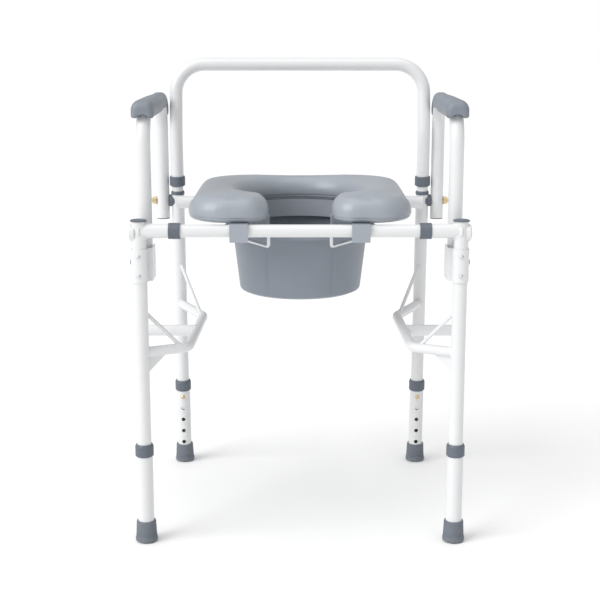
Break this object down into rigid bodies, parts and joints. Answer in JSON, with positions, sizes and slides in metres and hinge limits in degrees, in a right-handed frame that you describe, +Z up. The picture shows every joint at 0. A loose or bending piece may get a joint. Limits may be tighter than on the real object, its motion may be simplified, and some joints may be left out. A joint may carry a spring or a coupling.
{
  "type": "commode chair",
  "caption": "Tubular commode chair on adjustable legs, with a hinged horseshoe seat, slide-out pail, swinging arms and a plug-in backrest.",
  "frame": {"origin": "on the floor under the middle of the base, at the centre of the bounding box's bottom face", "axes": "+Z up, -Y towards the front of the chair, +X to the right as seen from the front"},
  "size_m": [0.606, 0.4806, 0.8507],
  "materials": {
    "white_coat": "white powder coat, satin",
    "grey_plastic": "moulded blue-grey plastic",
    "foot_rubber": "grey rubber ferrule",
    "button_brass": "brass snap button",
    "plated_steel": "bright zinc plate",
    "yellow_zinc": "yellow zinc plate",
    "arm_pad_skin": "blue-grey moulded foam skin",
    "seat_skin": "blue-grey coated cushion cover, soft sheen",
    "pail_plastic": "grey moulded polypropylene"
  },
  "bodies": {
    "frame": {"leg_front_left": "white_coat", "leg_front_right": "white_coat", "leg_rear_left": "white_coat", "leg_rear_right": "white_coat", "front_rail": "white_coat", "rail_stubs": "white_coat", "rail_end_caps": "white_coat", "rear_crossbar": "white_coat", "side_brace_left": "white_coat", "side_brace_right": "white_coat", "brace_gussets": "white_coat", "brace_rods": "white_coat", "arm_stops": "white_coat", "backrest_tube": "white_coat", "arm_bracket_left": "white_coat", "arm_bracket_right": "white_coat", "rail_sleeves": "grey_plastic", "leg_top_caps": "grey_plastic", "arm_stop_caps": "grey_plastic", "backrest_collars": "grey_plastic", "backrest_rings": "grey_plastic", "arm_bushes": "grey_plastic", "pail_rods": "plated_steel", "bracket_rivets": "plated_steel", "pivot_bolts": "yellow_zinc", "pivot_washers": "yellow_zinc", "pivot_nuts": "yellow_zinc"},
    "leg_end_front_left": {"extension_front_left": "white_coat", "collar_front_left": "grey_plastic", "foot_front_left": "foot_rubber"},
    "leg_end_front_right": {"extension_front_right": "white_coat", "collar_front_right": "grey_plastic", "foot_front_right": "foot_rubber"},
    "leg_end_rear_left": {"extension_rear_left": "white_coat", "collar_rear_left": "grey_plastic", "foot_rear_left": "foot_rubber"},
    "leg_end_rear_right": {"extension_rear_right": "white_coat", "collar_rear_right": "grey_plastic", "foot_rear_right": "foot_rubber"},
    "button_front_left": {"button_front_left": "button_brass"},
    "button_front_right": {"button_front_right": "button_brass"},
    "button_rear_left": {"button_rear_left": "button_brass"},
    "button_rear_right": {"button_rear_right": "button_brass"},
    "arm_left": {"arm_tube_left": "white_coat", "arm_pad_left": "arm_pad_skin", "arm_end_cap_left": "grey_plastic"},
    "arm_right": {"arm_tube_right": "white_coat", "arm_pad_right": "arm_pad_skin", "arm_end_cap_right": "grey_plastic"},
    "arm_lock_left": {"arm_lock_left": "grey_plastic"},
    "arm_lock_right": {"arm_lock_right": "grey_plastic"},
    "seat": {"seat_pad": "seat_skin", "seat_base": "grey_plastic", "seat_screws": "plated_steel", "seat_front_clips": "grey_plastic", "seat_hinge_clips": "grey_plastic", "splash_guard": "grey_plastic"},
    "pail": {"pail": "pail_plastic"}
  },
  "joints": [
    {"name": "leg_end_front_left_slide", "type": "slide", "parent": "frame", "child": "leg_end_front_left", "axis": [0, 0, 1], "range_m": [0, 0.1016]},
    {"name": "leg_end_front_right_slide", "type": "slide", "parent": "frame", "child": "leg_end_front_right", "axis": [0, 0, 1], "range_m": [0, 0.1016]},
    {"name": "leg_end_rear_left_slide", "type": "slide", "parent": "frame", "child": "leg_end_rear_left", "axis": [0, -0.0748, 0.9972], "range_m": [0, 0.1016]},
    {"name": "leg_end_rear_right_slide", "type": "slide", "parent": "frame", "child": "leg_end_rear_right", "axis": [0, -0.0748, 0.9972], "range_m": [0, 0.1016]},
    {"name": "button_front_left_press", "type": "slide", "parent": "frame", "child": "button_front_left", "axis": [0, -1, 0], "range_m": [0, 0.0048], "stiffness_N_per_m": 1500, "springref_m": -0.002, "deforming": ["button_front_left"]},
    {"name": "button_front_right_press", "type": "slide", "parent": "frame", "child": "button_front_right", "axis": [0, -1, 0], "range_m": [0, 0.0048], "stiffness_N_per_m": 1500, "springref_m": -0.002, "deforming": ["button_front_right"]},
    {"name": "button_rear_left_press", "type": "slide", "parent": "frame", "child": "button_rear_left", "axis": [0, 0.9972, 0.0748], "range_m": [0, 0.0048], "stiffness_N_per_m": 1500, "springref_m": -0.002, "deforming": ["button_rear_left"]},
    {"name": "button_rear_right_press", "type": "slide", "parent": "frame", "child": "button_rear_right", "axis": [0, 0.9972, 0.0748], "range_m": [0, 0.0048], "stiffness_N_per_m": 1500, "springref_m": -0.002, "deforming": ["button_rear_right"]},
    {"name": "arm_left_swing", "type": "hinge", "parent": "frame", "child": "arm_left", "pos_m": [-0.2775, 0.17797, 0.567], "axis": [-1, 0, 0], "range_deg": [0, 105]},
    {"name": "arm_right_swing", "type": "hinge", "parent": "frame", "child": "arm_right", "pos_m": [0.2775, 0.17797, 0.567], "axis": [-1, 0, 0], "range_deg": [0, 105]},
    {"name": "arm_lock_left_pull", "type": "slide", "parent": "frame", "child": "arm_lock_left", "axis": [-1, 0, 0], "range_m": [0, 0.007], "stiffness_N_per_m": 1200, "springref_m": -0.003},
    {"name": "arm_lock_right_pull", "type": "slide", "parent": "frame", "child": "arm_lock_right", "axis": [1, 0, 0], "range_m": [0, 0.007], "stiffness_N_per_m": 1200, "springref_m": -0.003},
    {"name": "seat_lift", "type": "hinge", "parent": "frame", "child": "seat", "pos_m": [0, 0.15804, 0.566], "axis": [-1, 0, 0], "range_deg": [0, 80]},
    {"name": "pail_slide", "type": "slide", "parent": "frame", "child": "pail", "axis": [0, 1, 0], "range_m": [0, 0.33]}
  ]
}
